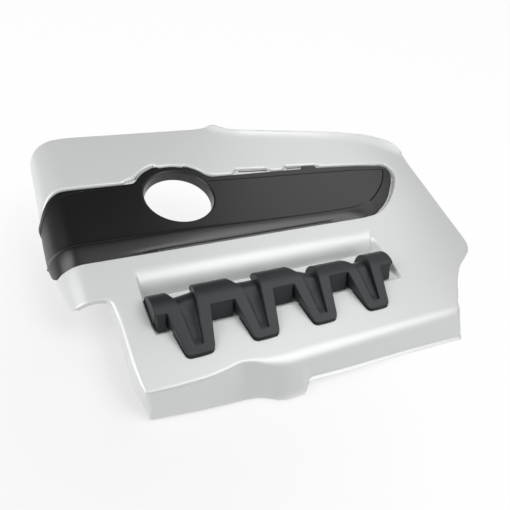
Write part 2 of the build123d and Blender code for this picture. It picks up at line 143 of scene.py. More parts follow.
def fill(outlines, inner, clear):
    """Triangles over flat outlines, through the inner points that keep clear of the edges."""
    edge = np.concatenate(outlines)
    inner = inner[within(inner, outlines)]
    keep = np.ones(len(inner), bool)
    for block in range(0, len(edge), 200):
        gap = inner[:, None, :] - edge[None, block : block + 200, :]
        keep &= np.min((gap**2).sum(2), axis=1) > clear * clear
    inner = inner[keep]
    points = np.concatenate([edge, inner])
    sides, base = [], 0
    for outline in outlines:
        n = len(outline)
        sides += [(base + i, base + (i + 1) % n) for i in range(n)]
        base += n
    flat = [Vector((float(x), float(y))) for x, y in points]
    out, _, faces, origin, _, _ = delaunay_2d_cdt(flat, sides, [], 0, 1e-5)
    place = {}
    for index, sources in enumerate(origin):
        for source in sources:
            place[source] = index
    out = np.array([tuple(v) for v in out])
    faces = np.array([f for f in faces if len(f) == 3])
    faces = faces[within(out[faces].mean(axis=1), outlines)]
    rings, base = [], 0
    for outline in outlines:
        rings.append(np.array([place[base + i] for i in range(len(outline))]))
        base += len(outline)
    return out, faces, rings


def outward(outline):
    """Direction away from the material at each point of an outline."""
    ahead = np.roll(outline, -1, axis=0) - outline
    ahead /= np.linalg.norm(ahead, axis=1)[:, None]
    run = ahead + np.roll(ahead, 1, axis=0)
    run /= np.linalg.norm(run, axis=1)[:, None]
    return np.stack([run[:, 1], -run[:, 0]], 1)


def wrap(flat, height, roll):
    """Lays flat points over the plate and round its rolled left side; gives place, rightward and outward."""
    roll_x, flare, turn_end, top = roll
    radius = np.interp(flat[:, 1], *flare)
    past = np.maximum(roll_x - flat[:, 0], 0.0)
    turn = np.minimum(past / radius, turn_end)
    over = past - turn * radius
    zero = np.zeros(len(flat))
    right = np.stack([np.cos(turn), zero, np.sin(turn)], 1)
    out = np.stack([-np.sin(turn), zero, np.cos(turn)], 1)
    x = np.where(past > 0, roll_x - radius * np.sin(turn), flat[:, 0])
    z = top - radius * (1.0 - np.cos(turn))
    place = np.stack([x, flat[:, 1], z], 1) - right * over[:, None] + out * np.asarray(height)[:, None]
    return place, right, out


def sideways(right, away):
    """Flat directions laid over the plate."""
    return right * away[:, :1] + np.array([0.0, 1.0, 0.0]) * away[:, 1:]


class Moulding:
    """Points and faces of one moulding while it is drawn."""

    def __init__(self):
        self.points, self.faces, self.count = [], [], 0

    def add(self, points, faces=()):
        start = self.count
        self.points.append(np.asarray(points, float))
        self.count += len(points)
        self.faces += [tuple(int(start + i) for i in face) for face in faces]
        return np.arange(start, self.count)

    def edge(self, ring, rings):
        """Strips of faces from one ring of points through the next ones."""
        for points in rings:
            new = self.add(points)
            n = len(ring)
            for i in range(n):
                j = (i + 1) % n
                self.faces.append((int(ring[i]), int(new[i]), int(new[j]), int(ring[j])))
            ring = new

    def piece(self, name, slot, material):
        mesh = bpy.data.meshes.new(name)
        mesh.from_pydata(seat(np.concatenate(self.points)).tolist(), [], self.faces)
        mesh.update()
        mesh.shade_smooth()
        mesh.set_sharp_from_angle(angle=math.radians(38.0))
        mesh.materials.append(material)
        obj = bpy.data.objects.new(name, mesh)
        bpy.context.scene.collection.objects.link(obj)
        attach(obj, "root")
        return obj


def rolled_edge(start, out, up, radius, reach, depth, lip, turns=6, falls=4):
    """Rings of a rounded edge and the wall under it, ending at a reach and a depth, with a small lip."""
    sizes = (radius, reach, depth, lip)
    radius, reach, depth, lip = (np.broadcast_to(size, len(start)).astype(float) for size in sizes)
    lean = np.arctan2(depth, reach)
    for _ in range(6):
        lean = np.arctan2(depth - radius * (1 - np.cos(lean)), reach - radius * np.sin(lean))
    rings = []
    for k in range(1, turns + 1):
        t = lean * k / turns
        rings.append(start + out * (radius * np.sin(t))[:, None] - up * (radius * (1 - np.cos(t)))[:, None])
    end = rings[-1]
    foot = start + out * reach[:, None] - up * depth[:, None]
    rings += [end + (foot - end) * (k / falls) for k in range(1, falls + 1)]
    rings.append(foot + out * lip[:, None] - up * (0.1 * lip)[:, None])
    rings.append(foot + out * lip[:, None] - up * (0.1 * lip + 0.9)[:, None])
    return rings


def principled(name, colour, roughness):
    material = bpy.data.materials.new(name)
    material.use_nodes = True
    shader = material.node_tree.nodes["Principled BSDF"]
    shader.inputs["Base Color"].default_value = (*colour, 1.0)
    shader.inputs["Roughness"].default_value = roughness
    return material, material.node_tree.nodes, material.node_tree.links, shader


def speckle(nodes, links, scale, detail):
    """Fine noise over the piece."""
    where = nodes.new("ShaderNodeTexCoord")
    noise = nodes.new("ShaderNodeTexNoise")
    noise.inputs["Scale"].default_value = scale
    noise.inputs["Detail"].default_value = detail
    links.new(where.outputs["Object"], noise.inputs["Vector"])
    return noise


def uneven(nodes, links, shader, scale, detail, low, high):
    """Roughness that wanders finely between two values; gives the noise behind it."""
    noise = speckle(nodes, links, scale, detail)
    spread = nodes.new("ShaderNodeMapRange")
    spread.inputs["To Min"].default_value = low
    spread.inputs["To Max"].default_value = high
    links.new(noise.outputs["Fac"], spread.inputs["Value"])
    links.new(spread.outputs["Result"], shader.inputs["Roughness"])
    return noise


def two_tone(nodes, links, shader, noise, dark, light):
    """Colour that wanders with a noise between two tones."""
    tone = nodes.new("ShaderNodeValToRGB")
    tone.color_ramp.elements[0].color = (*dark, 1.0)
    tone.color_ramp.elements[1].color = (*light, 1.0)
    links.new(noise.outputs["Fac"], tone.inputs["Fac"])
    links.new(tone.outputs["Color"], shader.inputs["Base Color"])


def grain(nodes, links, shader, scale, depth):
    """Moulded grain as a shallow bump."""
    noise = speckle(nodes, links, scale, 3.0)
    bump = nodes.new("ShaderNodeBump")
    bump.inputs["Strength"].default_value = 0.5
    bump.inputs["Distance"].default_value = depth
    links.new(noise.outputs["Fac"], bump.inputs["Height"])
    links.new(bump.outputs["Normal"], shader.inputs["Normal"])


def thicken(piece, wall):
    """Gives a piece drawn as a skin its wall, inwards."""
    skin = piece.modifiers.new("wall", "SOLIDIFY")
    skin.thickness = wall / 1000.0
    skin.offset = -1.0


silver_paint, nodes, links, shader = principled("silver_paint", (0.78, 0.797, 0.79), 0.39)
shader.inputs["Metallic"].default_value = 0.24
shader.inputs["Coat Weight"].default_value = 0.35
shader.inputs["Coat Roughness"].default_value = 0.22
flake = uneven(nodes, links, shader, 2600.0, 2.0, 0.36, 0.46)
two_tone(nodes, links, shader, flake, (0.75, 0.767, 0.76), (0.81, 0.827, 0.82))
grain(nodes, links, shader, 900.0, 0.000015)

arch = (HOLE_X, HOLE_Y)
arch_left = round_line(arch, 69.2, 141, 104, 5.0)
arch_top = round_line(arch, 62.2, 101, 69, 5.0)
arch_right = round_line(arch, 66.0, 66, 41, 5.0)
front_left = [(-200, -25), (-172, -24.6), (-150, -21.7), (-132, -18.7)]
front_left += [(-119, -20.5), (-108, -23.3), (-94, -24.5)]
right_curve = [(196, -11.5), (214.6, 11.5), (242, 36.8), (266.2, 51.1)]
right_curve += [(282.5, 62), (289, 71.5), (292, 84), (293, 100)]
bed_turn = [(246.5, 256.3), (253.4, 252), (256.4, 244.5), (255.2, 232.5), (250.4, 220)]
bed_curve = [(231.5, 197.2), (211, 177.6), (192, 162.8)]
bed_curve += [(175, 153.2), (160, 147.8), (140, 145.2)]
shell_runs = [
    ("front", 4.0, front_left),
    ("front", 2.0, [(-46, -24.5)]),
    ("front", 6.0, [(183, -24.5)]),
    ("nose", 1.0, [(186, -23.6), (188, -21.2), (189.2, -18.8)]),
    ("right", 4.0, right_curve),
    ("right", 6.0, [(303.5, 256)]),
    ("right", 3.0, [(306, 274), (306.3, 283.5)]),
    ("right", 1.5, [(305.9, 287.3), (303.6, 291.5)]),
    ("back", 4.0, [(300, 298.5), (290, 307.5), (272, 316.8), (255, 322), (239, 325.5)]),
    ("back", 6.0, [(20, 355.5)]),
    ("back", 3.0, [(4, 359.5), (-9, 365.3), (-22, 371.8), (-33, 371), (-50, 368.5)]),
    ("back", 6.0, [(-236, 368.5)]),
    ("back", 4.0, [(-250, 367.3), (-265, 364.6)]),
    ("left_low", 4.0, [(-280, 360.6), (-295, 355), (-305, 349.5)]),
    ("left_low", 2.0, [(-307, 347.5), (-307.5, 344)]),
    ("left_low", 6.0, [(-312, 256)]),
    ("left_low", 1.5, [(-311.6, 248.5), (-308.5, 246), (-304.5, 249)]),
    ("bed_top", 3.0, [(-294, 261), (-282, 269), (-269, 273), (-254, 274)]),
    ("bed_top", 5.0, [(-197, 274)]),
    ("bed_top", 2.0, [(-188, 274.6), (-181, 278.4), arch_left[0]]),
    ("bed_top", 3.0, arch_left[1:]),
    ("bed_top", 2.0, [arch_top[0]]),
    ("bed_top", 3.0, arch_top[1:]),
    ("bed_top", 2.0, [arch_right[0]]),
    ("bed_top", 3.0, arch_right[1:]),
    ("bed_top", 2.0, [(-62, 273.2), (-54, 270.9)]),
    ("bed_top", 4.0, [(-30, 270)]),
    ("bed_top", 2.0, [(-21, 278.6)]),
    ("bed_top", 4.0, [(30, 274.6)]),
    ("bed_top", 2.0, [(38, 268.2)]),
    ("bed_top", 4.0, [(54, 267.4)]),
    ("bed_top", 2.0, [(61, 274.3)]),
    ("bed_top", 4.0, [(116.5, 270.3)]),
    ("bed_top", 2.0, [(123.5, 265.4)]),
    ("bed_top", 5.0, [(236, 257.6)]),
    ("bed_end", 2.0, bed_turn),
    ("bed_end", 4.0, bed_curve),
    ("bed_low", 5.0, [(-296, 145.2)]),
    ("left_low", 2.0, [(-304, 144.4), (-306.5, 140)]),
    ("left_low", 4.0, [(-293, 99.5)]),
    ("left_low", 2.0, [(-290.5, 96.3), (-285, 95.2)]),
    ("tab", 2.0, [(-270, 95), (-256, 94.6)]),
    ("strip", 1.0, [(-249, 93), (-244, 89), (-241, 82.5)]),
    ("strip", 4.0, [(-239.3, 66), (-239, 46)]),
    ("strip", 5.0, [(-239, -12)]),
    ("strip", 2.0, [(-239, -21)]),
    ("corner", 1.0, [(-238.5, -23.4), (-237, -24.7), (-234, -25)]),
]
shell_edge, shell_names = trace(shell_runs)
LIP_X = (-50, -36, -26, -16, 14, 116, 228, 253, 268, 306)
LIP_START = (379, 371, 363, 355, 345, 330, 314, 305, 296, 275)
LIP_RISE = 6.1


def plate_fall(x):
    """Fall of the plate towards the right."""
    past = np.clip(x - FALL_X, 0.0, 400.0)
    return np.sqrt(FALL_R**2 - past**2) - FALL_R


def relief(x, y):
    """Height of the plate: fall at the right, raised lip at the rear, recess for the insert."""
    height = plate_fall(x)
    start = np.interp(x, LIP_X, LIP_START)
    back = np.interp(x, [-50, -22, 20, 239, 272, 306], [384, 375.5, 358.5, 328.5, 320, 293])
    rise = LIP_RISE * ease((x + 48.0) / 24.0)
    climb = np.clip((y - start) / np.maximum(back - start, 4.0), 0.0, 1.2)
    height += rise * np.where(climb < 0.3, climb * climb / 0.6, climb - 0.15) / 0.85
    floor = RECESS_STEP + (y - RECESS_Y[0]) * math.tan(floor_angle)
    ahead = np.clip(RECESS_Y[1] - y, 0.0, RECESS_ROLL)
    roll = RECESS_ROLL - np.sqrt(RECESS_ROLL**2 - ahead**2)
    depth = np.where(y > deep_y, roll, floor)
    sides = ease((x - RECESS_X[0] + 0.5) / 5.5) * ease((RECESS_X[1] + 4.0 - x) / 7.0)
    return height - depth * sides * ease((y - RECESS_Y[0] + 1.6) / 2.4)


deep_y = RECESS_Y[1] - RECESS_ROLL * math.sin(RECESS_TURN)
deep_z = RECESS_ROLL * (1.0 - math.cos(RECESS_TURN))
floor_angle = math.atan2(deep_z - RECESS_STEP, deep_y - RECESS_Y[0])
left_steps = np.array([-2.0, -0.6, 0.3, 1.1, 1.9, 2.7, 3.5, 4.3, 5.1, 6.5])
right_steps = np.array([-4.6, -3.0, -2.0, -1.0, 0.0, 1.0, 2.0, 3.0, 4.0, 5.4])
middle = np.linspace(RECESS_X[0] + 10, RECESS_X[1] - 9, 40)
cross_x = np.concatenate([RECESS_X[0] + left_steps, middle, RECESS_X[1] + right_steps])
roll_turns = np.linspace(0.0, RECESS_TURN, 16)
front_steps = np.array([-2.6, -1.6, -1.1, -0.6, -0.1, 0.4, 0.9, 2.0])
cross_y = [RECESS_Y[0] + front_steps, np.linspace(42, deep_y - 1.5, 12)]
cross_y += [RECESS_Y[1] - RECESS_ROLL * np.sin(roll_turns), [130.0, 133.0]]
recess_grid = grid_of(cross_x, np.concatenate(cross_y))
wide = grid_of(np.arange(-306, 310, 6.0), np.arange(-30, 372, 6.0))
box_x, box_y = (RECESS_X[0] - 6, RECESS_X[1] + 6), (RECESS_Y[0] - 5, RECESS_Y[1] + 8)
free = (wide[:, 0] < box_x[0]) | (wide[:, 0] > box_x[1]) | (wide[:, 1] < box_y[0]) | (wide[:, 1] > box_y[1])
FINGERS_X = (-172.0, -92.0, -12.0, 68.0)
outer_tip = [(17.4, 5.2), (16.2, 0.9), (12.8, -2.2), (7.0, -3.0), (0.0, -3.3)]
outer_tip += [(-7.0, -3.1), (-13.6, -2.5), (-17.4, 0.6), (-18.6, 5.2)]
inner_tip = [(-13.6, 6.5), (-12.6, 3.6), (-10.0, 2.6), (0.0, 2.3), (10.0, 2.6), (12.6, 3.6), (13.6, 6.5)]
gap_line = [
    (3.0, [(-22.7, 33.0)]),
    (2.0, [(-18.8, 33.0)]),
    (3.0, [inner_tip[0]]),
    (1.5, inner_tip[1:]),
    (3.0, [(18.8, 33.0)]),
    (2.0, [(23.0, 33.0)]),
    (3.0, [outer_tip[0]]),
    (1.5, outer_tip[1:]),
]
gaps = []
for x in FINGERS_X:
    gap_runs = [("gap", step, [(x + px, py) for px, py in corners]) for step, corners in gap_line]
    gaps.append(trace(gap_runs)[0])
support = np.concatenate([outline - outward(outline) * 1.8 for outline in (shell_edge, *gaps)])
flat, faces, rings = fill([shell_edge, *gaps], np.concatenate([wide[free], recess_grid, support]), 1.2)
place, right, out = wrap(flat, relief(flat[:, 0], flat[:, 1]), SHELL_ROLL)
shell = Moulding()
ids = shell.add(place, faces)
away = outward(shell_edge)
edge_x, edge_y = shell_edge[:, 0], shell_edge[:, 1]
# Front wall: x on the plate, x and y of the foot, and the depth where it ends above the table
FRONT_FEET = [
    (-234, -236.6, -41.0, None),
    (-185, -186.0, -47.0, None),
    (-150, -151.0, -50.0, None),
    (-128, -132.0, -51.0, None),
    (-116, -120.0, -53.2, None),
    (-106, -109.0, -57.0, None),
    (-98, -99.5, -62.8, None),
    (-88, -88.5, -66.0, None),
    (-66, -65.8, -66.5, None),
    (-61, -62.0, -63.0, 28.4),
    (-56, -57.0, -54.6, 24.4),
    (-51, -51.5, -51.6, 23.2),
    (0, 0.0, -54.0, 23.2),
    (75, 75.0, -55.0, 23.2),
    (150, 149.0, -57.6, 23.2),
    (183, 178.5, -59.0, 23.2),
]
STRIP_END, CORNER_FOOT = np.array([-247.4, -12.0]), np.array([-236.6, -41.0])
NOSE_FEET = [(0.0, 178.5, -59.0, 23.2), (0.35, 182.5, -58.0, 24.0)]
NOSE_FEET += [(0.55, 188.0, -46.0, 27.0), (1.0, 193.4, -21.2, 28.0)]
FRONT_RADII = ([-234, -210, -130, -112, -98, -80, 183], [3.0, 5.0, 5.0, 10.0, 18.0, 25.0, 25.0])
GAP_RIM = (0.7, 0.75, 2.0, 0.02)
# Radius, reach and depth of each plain edge
EDGE = {
    "right": (3.2, 4.2, 28.0),
    "back": (2.8, 3.2, 12.0),
    "left_low": (0.8, 0.9, 1.6),
    "bed_top": (4.0, 4.2, BED_SINK),
    "bed_end": (2.4, 2.6, BED_SINK + END_SINK),
    "bed_low": (1.6, 1.7, BED_SINK + END_SINK),
    "tab": (2.0, 2.3, 3.4),
}


def floor_depth(y):
    """Depth under the plate at which a wall that ends at y stands just clear of the table."""
    return (FRONT_HEIGHT + y * math.sin(SLOPE)) / math.cos(SLOPE) - 2.9


count = len(shell_edge)
radius, depth, lip = np.full(count, 2.0), np.full(count, 4.0), np.full(count, 0.05)
foot = shell_edge.copy()
for name, (edge_radius, edge_reach, edge_depth) in EDGE.items():
    picked = shell_names == name
    radius[picked], depth[picked] = edge_radius, edge_depth
    foot[picked] = shell_edge[picked] + away[picked] * edge_reach
picked = shell_names == "front"
front_x = [row[0] for row in FRONT_FEET]
foot[picked, 0] = np.interp(edge_x[picked], front_x, [row[1] for row in FRONT_FEET])
foot[picked, 1] = np.interp(edge_x[picked], front_x, [row[2] for row in FRONT_FEET])
front_depth = [floor_depth(row[2]) if row[3] is None else row[3] for row in FRONT_FEET]
depth[picked] = np.interp(edge_x[picked], front_x, front_depth)
radius[picked] = np.interp(edge_x[picked], *FRONT_RADII)
lip[picked] = np.interp(edge_x[picked], [-64, -60, -52], [0.1, 1.0, 4.0])
picked = shell_names == "nose"
along = np.linspace(0.0, 1.0, picked.sum())
nose = np.array(NOSE_FEET)
foot[picked] = np.stack([np.interp(along, nose[:, 0], nose[:, k]) for k in (1, 2)], 1)
depth[picked] = np.interp(along, nose[:, 0], nose[:, 3])
radius[picked] = np.interp(along, [0.0, 0.45, 1.0], [25.0, 16.0, 3.2])
lip[picked] = np.interp(along, [0.0, 0.4], [4.0, 0.1])
picked = np.isin(shell_names, ("strip", "corner"))
share = np.where(shell_names == "corner", 0.45, 0.0)
share += np.where(shell_names == "corner", 0.55 * np.clip((edge_x + 239.0) / 5.0, 0.0, 1.0), 0.0)
share = np.where((shell_names == "strip") & (edge_y < -12.0), (-12.0 - edge_y) / 9.0 * 0.45, share)
on_strip = shell_edge + away * np.interp(edge_y, [-12.0, 82.0, 89.0, 94.6], [8.4, 8.2, 5.5, 2.3])[:, None]
dip = STRIP_END + (CORNER_FOOT - STRIP_END) * share[:, None]
foot[picked] = np.where((share > 0.0)[:, None], dip, on_strip)[picked]
strip_depth = np.interp(edge_y, [82.0, 89.0, 94.6], [12.0, 8.5, 4.0])
depth[picked] = (strip_depth + (floor_depth(CORNER_FOOT[1]) - 12.0) * share)[picked]
strip_radius = np.interp(edge_y, [-20.0, 10.0, 82.0, 94.6], [4.0, 7.5, 7.5, 2.0])
radius[picked] = (strip_radius - 1.0 * np.clip(share / 0.5, 0.0, 1.0))[picked]
step = foot - shell_edge
reach = np.linalg.norm(step, axis=1)
ring = rings[0]
side = sideways(right[ring], step / reach[:, None])
shell.edge(ids[ring], rolled_edge(place[ring], side, out[ring], radius, reach, depth, lip))
for outline, ring in zip(gaps, rings[1:]):
    side = sideways(right[ring], outward(outline))
    shell.edge(ids[ring], rolled_edge(place[ring], side, out[ring], *GAP_RIM))

# The sunk bed lies under the trim and is moulded in one with the shell. It has a trough along its front, the
# opening over the oil filler, and a slot behind each notch and beside the arch for the trim's clips.
bed_line = shell_edge[np.char.startswith(shell_names, "bed")]
bed_edge = np.concatenate([bed_line, [[-303.0, 150.0], [-308.0, 200.0], [-308.0, 240.0]]])[::-1]
opening = round_line(arch, 54.5, 0, 360, 4.0)[:-1][::-1]


def slot_loop(a, b, width):
    """Narrow slot along a line."""
    a, b = np.array(a), np.array(b)
    run = (b - a) / np.linalg.norm(b - a)
    across = np.array([run[1], -run[0]]) * width / 2
    return np.array([a + across, a - across, b - across, b + across])


def arch_slot(inner, outer, start, end):
    """Narrow slot along the arch."""
    return np.concatenate([round_line(arch, inner, start, end), round_line(arch, outer, end, start)])


slots = [slot_loop((-15, 271.9), (30, 268.7), 1.9), slot_loop((65, 268.2), (88, 266.6), 1.9)]
fences = [arch_slot(62.3, 63.3, 140, 107), arch_slot(61.0, 61.9, 62, 42)]
slots += [arch_slot(63.6, 65.6, 139, 107), arch_slot(62.0, 63.2, 61, 44)]
wide_bed = grid_of(np.arange(-304, 250, 12.0), np.arange(150, 300, 10.0))
trough = grid_of(np.arange(-300, 150, 8.0), [151.5, 152.8, 154.0, 155.3, 156.6])
flat, faces, rings = fill([bed_edge, opening, *slots], np.concatenate([wide_bed, trough]), 1.2)
sink = BED_SINK + END_SINK * ease((flat[:, 0] - 180.0) / 40.0)
sink += TROUGH_SINK * ease((156.5 - flat[:, 1]) / 5.0)
place, right, out = wrap(flat, plate_fall(flat[:, 0]) - sink, SHELL_ROLL)
shell.add(place, faces)
cover_shell = shell.piece("cover_shell_moulding", "silver_paint", silver_paint)
thicken(cover_shell, SHELL_WALL)
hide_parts("cover_shell")

# The upper trim is a black grained moulding that lies in the shell's bed and wraps round its left side. A
# rounded band runs along its front, fine grooves border its panel, and a ring with a deep collar stands
# round the oil filler opening. Pegs and clip strips on its underside go through the bed.
TRIM_ROLL = (-262.0, ((145, 270), (37.6, 37.6)), math.radians(80.0), -1.5)
TRIM_WALL = 2.0
BAND_RISE, BAND_DIP = 3.3, 2.8
GROOVE_DEPTH, FOOT_GROOVE_DEPTH = 1.5, 0.8
END_FALL, CORNER_FLARE = 0.075, 1.9
PEG_RADIUS, PEG_REACH, CLIP_REACH = 2.45, 8.0, 3.0
TRIM_RIM, COLLAR = (1.2, 1.3, 2.4, 0.02), (2.0, 3.2, 14.4, 0.02)
ring_right = round_line(arch, 59.4, 35, 66, 3.0)
ring_top = round_line(arch, 56.2, 69, 101, 3.0)
ring_left = round_line(arch, 60.6, 104, 143, 3.0)
trim_curve = [(149, 149.6), (159, 152.6), (173, 158.8)]
trim_curve += [(188.5, 168.6), (206.5, 183.2), (225, 203)]
trim_runs = [
    ("edge", 5.0, [(140, 148.8)]),
    ("edge", 3.0, trim_curve),
    ("edge", 3.0, [(234, 213.5), (241, 223)]),
    ("edge", 2.0, [(246, 232), (247.4, 240.5), (245.6, 247), (238, 250.4)]),
    ("edge", 5.0, [(114, 259.2)]),
    ("edge", 2.0, [(112, 265.4)]),
    ("edge", 3.0, [(91, 266.8)]),
    ("edge", 2.0, [(89, 260.6)]),
    ("edge", 5.0, [(-54, 264.6)]),
    ("edge", 2.0, [(-63, 265.8), ring_right[0]]),
    ("edge", 3.0, ring_right[1:]),
    ("edge", 2.0, [ring_top[0]]),
    ("edge", 3.0, ring_top[1:]),
    ("edge", 2.0, [ring_left[0]]),
    ("edge", 3.0, ring_left[1:]),
    ("edge", 2.0, [(-172.5, 269), (-181, 267.7)]),
    ("edge", 5.0, [(-256, 267.7)]),
    ("edge", 3.0, [(-270, 266.4), (-284, 260.5), (-297, 250), (-307, 240.6)]),
    ("edge", 2.0, [(-312.5, 234), (-314.5, 226)]),
    ("edge", 5.0, [(-317.5, 205), (-319.5, 183)]),
    ("edge", 2.0, [(-319.5, 171), (-314, 158.5), (-305, 150.6), (-296, 148.8), (-290, 148.8)]),
]
trim_edge, _ = trace(trim_runs)
trim_hole = round_line(arch, 49.4, 360, 0, 3.0)[:-1]
CREASE = [(-345, 174), (-217, 172.5), (-139, 171.5), (-29, 167.6)]
CREASE += [(90, 165.2), (128, 166), (150, 170), (169, 178)]
GROOVE_TOP = [(237, 243), (-70, 257.6)]
GROOVE_SIDE = [(169, 178), (186, 189.2), (203, 202.5), (222, 221.5), (237, 243)]
GROOVE_LEFT = [(-166, 259.5), (-266, 259), (-282, 252.5), (-296, 241), (-330, 206)]
GROOVE_FOOT = [(-225, 152.2), (120, 152.2)]
crease_line = bend(CREASE, 4.0)
side_groove, foot_groove = bend(GROOVE_SIDE, 3.0), bend(GROOVE_FOOT, 3.0)
grooves = [bend(GROOVE_TOP, 3.0), side_groove, bend(GROOVE_LEFT, 3.0)]


def beside(line, gap):
    """The same line, moved to its left."""
    run = np.gradient(line, axis=0)
    run /= np.linalg.norm(run, axis=1)[:, None]
    return line + np.stack([-run[:, 1], run[:, 0]], 1) * gap


def distance(points, line):
    """Distance to a line, and on which side of it."""
    best = np.full(len(points), 1e9)
    side = np.zeros(len(points))
    for a, b in zip(line[:-1], line[1:]):
        run = b - a
        t = np.clip(((points - a) @ run) / (run @ run), 0.0, 1.0)
        gap = points - a - t[:, None] * run
        far = np.linalg.norm(gap, axis=1)
        nearer = far < best
        best = np.where(nearer, far, best)
        side = np.where(nearer, np.sign(run[0] * gap[:, 1] - run[1] * gap[:, 0]), side)
    return best, side


def trim_relief(points):
    """Height over the trim's panel: the band along the front with a valley behind it, less the grooves."""
    x, y = points[:, 0], points[:, 1]
    gap, side = distance(points, crease_line)
    edge_gap, _ = distance(points, np.concatenate([trim_edge, trim_edge[:1]]))
    rise = BAND_RISE * (1.0 - 0.85 * ease((x - 110.0) / 55.0))
    rise *= (1.0 - 0.4 * ease((-100.0 - x) / 140.0)) * (1.0 - 0.4 * ease((-262.0 - x) / 36.0))
    up_band = np.clip(edge_gap / np.maximum(edge_gap + gap, 0.1), 0.0, 1.0)
    in_front = rise * (1.0 - (1.0 + BAND_DIP / BAND_RISE) * (1.0 - up_band) ** 1.5)
    behind = rise * (1.0 - ease(gap / 6.0))
    band = np.where(side < 0, in_front, behind) * (x < 172.0)
    groove_gap = np.min([distance(points, line)[0] for line in grooves], axis=0)
    groove = GROOVE_DEPTH * np.clip(1.0 - groove_gap, 0.0, 1.0)
    fade = ease((x + 225.0) / 60.0) * ease((120.0 - x) / 60.0)
    groove += FOOT_GROOVE_DEPTH * fade * np.clip(1.0 - distance(points, foot_groove)[0], 0.0, 1.0)
    past, end_side = distance(points, side_groove)
    beyond = (end_side < 0) & (x > 160.0)
    groove += END_FALL * past * beyond * ease((246.0 - y) / 8.0) * ease((x - 160.0) / 24.0)
    flare = CORNER_FLARE * np.exp(-(((x + 314.0) / 9.0) ** 2) - ((y - 234.0) / 9.0) ** 2)
    return plate_fall(x) + band + flare - groove


lines = [beside(crease_line, g) for g in (-10.0, -7.0, -4.5, -2.0, 0.0, 0.9, 1.8, 2.8, 3.9, 5.0, 6.2)]
lines += [beside(line, g) for line in (*grooves, foot_groove) for g in (-1.0, 0.0, 1.0)]
trim_grid = grid_of(np.arange(-330, 245, 6.0), np.arange(152, 292, 6.0))
crease_gap, _ = distance(trim_grid, crease_line)
groove_gap = np.min([distance(trim_grid, line)[0] for line in (*grooves, foot_groove)], axis=0)
trim_grid = trim_grid[(crease_gap > 7.0) & (groove_gap > 2.5)]
support = np.concatenate([trim_edge - outward(trim_edge) * 2.0, trim_hole - outward(trim_hole) * 2.0])
flat, faces, rings = fill([trim_edge, trim_hole], np.concatenate([trim_grid, support, *lines]), 1.0)
place, right, out = wrap(flat, trim_relief(flat), TRIM_ROLL)
trim = Moulding()
ids = trim.add(place, faces)
for outline, ring, shape in zip((trim_edge, trim_hole), rings, (TRIM_RIM, COLLAR)):
    side = sideways(right[ring], outward(outline))
    trim.edge(ids[ring], rolled_edge(place[ring], side, out[ring], *shape))


def turned(profile, turns=24):
    """Points and faces of a turned form about an upright axis, closed where the profile meets the axis."""
    angle = np.arange(turns) * 2.0 * math.pi / turns
    points, faces = [], []
    for radius, z in profile:
        points.append(np.stack([radius * np.cos(angle), radius * np.sin(angle), np.full(turns, z)], 1))
    for k in range(len(profile) - 1):
        for i in range(turns):
            j = (i + 1) % turns
            faces.append((k * turns + i, k * turns + j, (k + 1) * turns + j, (k + 1) * turns + i))
    faces.append(tuple(range(turns))[::-1])
    faces.append(tuple((len(profile) - 1) * turns + i for i in range(turns)))
    return np.concatenate(points), faces


def prism(first, second):
    """Points and faces of a solid between two like outlines."""
    n = len(first)
    faces = [tuple(range(n)), tuple(range(2 * n - 1, n - 1, -1))]
    faces += [(i, n + i, n + (i + 1) % n, (i + 1) % n) for i in range(n)]
    return np.concatenate([first, second]), faces


trim_pegs = [(-240, 165), (-240, 250), (-45, 163), (-20, 253), (120, 163), (150, 238)]
peg, peg_faces = turned([(1.6, -PEG_REACH), (PEG_RADIUS, -PEG_REACH + 1.2), (PEG_RADIUS, 1.2)])
black_trim, nodes, links, shader = principled("black_trim", (0.0055, 0.006, 0.0062), 0.36)
shader.inputs["Specular IOR Level"].default_value = 0.75
uneven(nodes, links, shader, 700.0, 4.0, 0.28, 0.36)
grain(nodes, links, shader, 1500.0, 0.00004)
upper_trim = trim.piece("upper_trim_moulding", "black_trim", black_trim)
thicken(upper_trim, TRIM_WALL)
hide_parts("upper_trim")
pegs = Moulding()
for x, y in trim_pegs:
    pegs.add(peg + np.array([x, y, -5.5]), peg_faces)
for outline in slots:
    grown = outline + (outline.mean(0) - outline) * -0.04
    upper = at_height(grown, -BED_SINK + 0.2)
    pegs.add(*prism(upper, upper - np.array([0.0, 0.0, CLIP_REACH])))
pegs.piece("trim_pegs", "black_trim", black_trim)

# The runner insert is one dark grained moulding shaped like a row of intake runners: five rounded hoods
# joined by four tapered fingers, each with a hollow channel that runs up and over to the back. It sits in
# the recess, its fingers lie on the plate, and pegs hold it from below.
INSERT_X = (-210.0, 114.0)
TIP_HEIGHT, RUNNER_RISE = 3.0, math.radians(17.2)
CREST_START, CREST_RADIUS = 56.0, 24.0
TIP_HALF, SIDE_FLARE = 15.5, 0.175
CHANNEL_Y, CHANNEL_Z, CHANNEL_HALF, CHANNEL_FLARE, CHANNEL_RADIUS = 8.5, 2.0, 6.0, 0.128, 16.0
CHANNEL_BOW, CHANNEL_STEPS = 0.28, 9
INSERT_WALL, GAP_FOOT, GAP_LEDGE = 1.6, -1.8, 2.2
SIDE_FOOT, FOOT_DRAFT, CHANNEL_DRAFT = -1.0, 0.03, 0.04
FACE_TOP_Y, FACE_FOOT_Y = (48.5, 48.5, 51.0, 51.5, 50.0), 38.3
slope_run = CREST_START / math.cos(RUNNER_RISE)
crest_y = CREST_START + CREST_RADIUS * math.sin(RUNNER_RISE)
crest_z = TIP_HEIGHT + CREST_START * math.tan(RUNNER_RISE) - CREST_RADIUS * math.cos(RUNNER_RISE)
crest_turn = math.radians(90.0) + RUNNER_RISE
back_run = slope_run + CREST_RADIUS * crest_turn
CREST_PLACES = (-185, -160, -100, -84, -20, -4, 60, 76)
